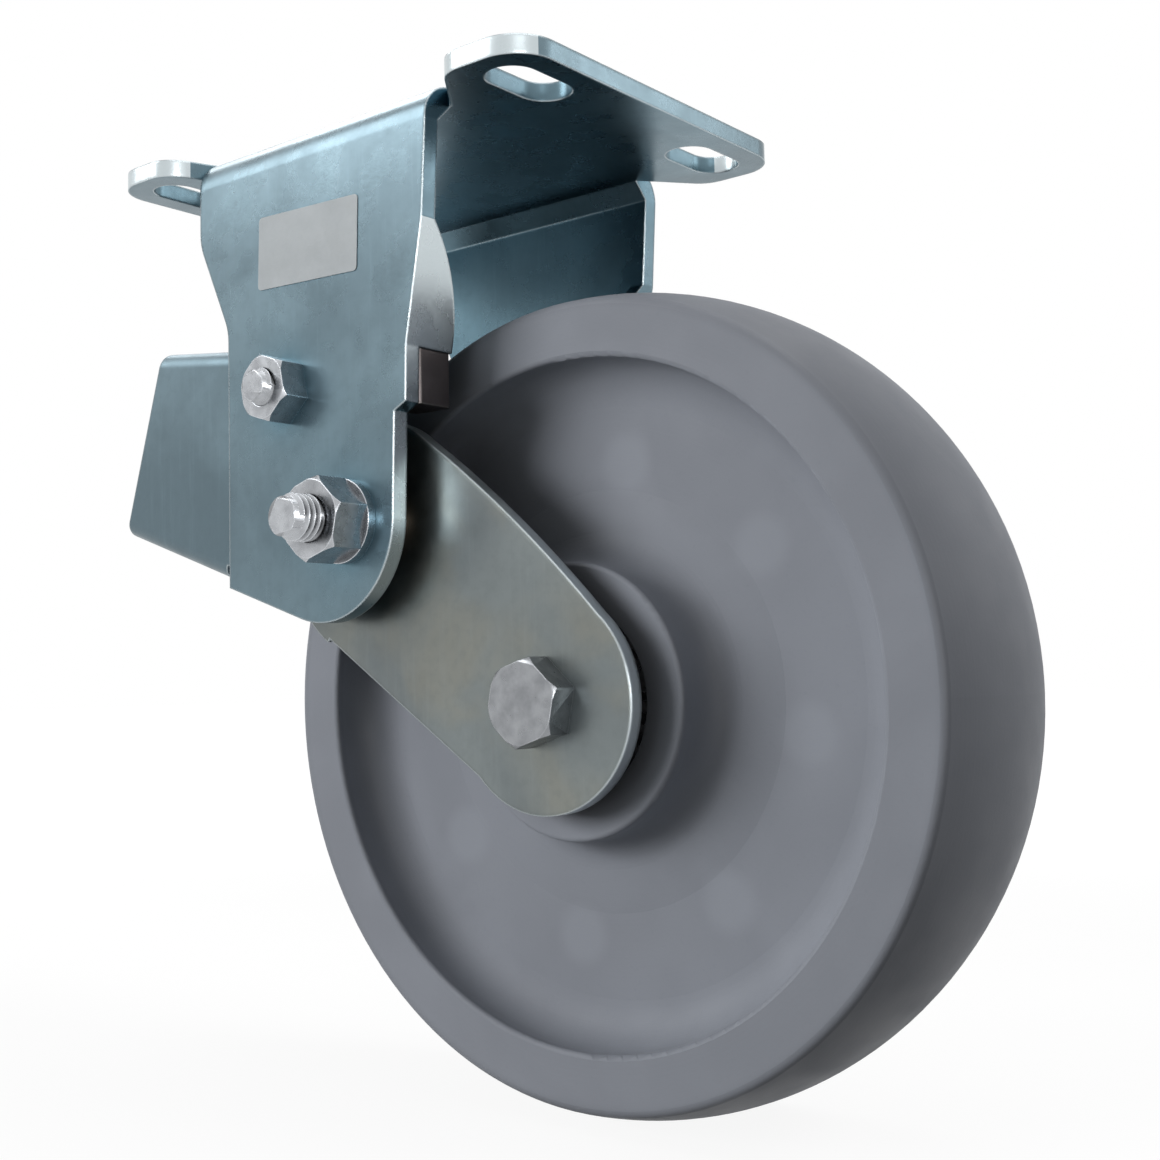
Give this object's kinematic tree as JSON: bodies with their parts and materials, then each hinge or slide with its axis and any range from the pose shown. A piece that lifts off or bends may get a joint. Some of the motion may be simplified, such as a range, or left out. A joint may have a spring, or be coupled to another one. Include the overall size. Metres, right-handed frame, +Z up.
{
  "type": "fixed castor",
  "caption": "Sprung fixed castor: slotted top plate folded into two legs, swinging arm with an elastomer spring box behind it, and a plain wheel on ball bearings.",
  "frame": {"origin": "centre of the plate's top face", "axes": "+Z up out of the plate, +X towards the wheel, +Y along the wheel's axle"},
  "size_m": [0.2559, 0.138, 0.2549],
  "materials": {
    "zinc_housing": "bright zinc plated pressed steel",
    "zinc_arm": "zinc plated steel, slightly olive",
    "zinc_fastener": "bright zinc plated",
    "bearing_steel": "ground",
    "seal_rubber": "matt",
    "cage_polymer": "moulded",
    "elastomer": "matt",
    "bush_bronze": "sintered",
    "wheel_polymer": "satin cast polyamide or polyurethane, mid grey"
  },
  "bodies": {
    "frame": {"housing": "zinc_housing", "spring_box": "zinc_housing", "guide_block_near": "zinc_housing", "guide_block_far": "zinc_housing", "through_bolt": "zinc_fastener", "through_nut": "zinc_fastener", "through_washer": "zinc_fastener", "through_sleeve": "zinc_fastener", "pivot_bolt_near": "zinc_fastener", "pivot_bolt_far": "zinc_fastener", "pivot_nut_near": "zinc_fastener", "pivot_nut_far": "zinc_fastener", "pivot_washer_near": "zinc_fastener", "pivot_washer_far": "zinc_fastener", "spring_block": "elastomer"},
    "arm": {"arm_plate_near": "zinc_arm", "arm_plate_far": "zinc_arm", "tail_plate": "zinc_arm", "pivot_bush_near": "bush_bronze", "pivot_bush_far": "bush_bronze", "axle_bolt": "zinc_fastener", "axle_washer": "zinc_fastener", "axle_nut": "zinc_fastener", "axle_tube": "zinc_fastener", "bearing_spacer": "zinc_fastener", "end_spacer_near": "zinc_fastener", "end_spacer_far": "zinc_fastener", "inner_ring_near": "bearing_steel", "inner_ring_far": "bearing_steel"},
    "wheel": {"wheel": "wheel_polymer", "outer_ring_near": "bearing_steel", "outer_ring_far": "bearing_steel", "ball_set_near": "bearing_steel", "ball_set_far": "bearing_steel", "ball_cage_near": "cage_polymer", "ball_cage_far": "cage_polymer", "seal_near": "seal_rubber", "seal_far": "seal_rubber"}
  },
  "joints": [
    {"name": "arm_swing", "type": "hinge", "parent": "frame", "child": "arm", "pos_m": [0.0108, 0, -0.1071], "axis": [0, -1, 0], "range_deg": [0, 12], "stiffness_Nm_per_rad": 400, "springref_deg": -2.86, "deforming": ["spring_block"]},
    {"name": "wheel_spin", "type": "hinge", "parent": "arm", "child": "wheel", "pos_m": [0.06486, 0, -0.15328], "axis": [0, 1, 0], "continuous": true}
  ]
}
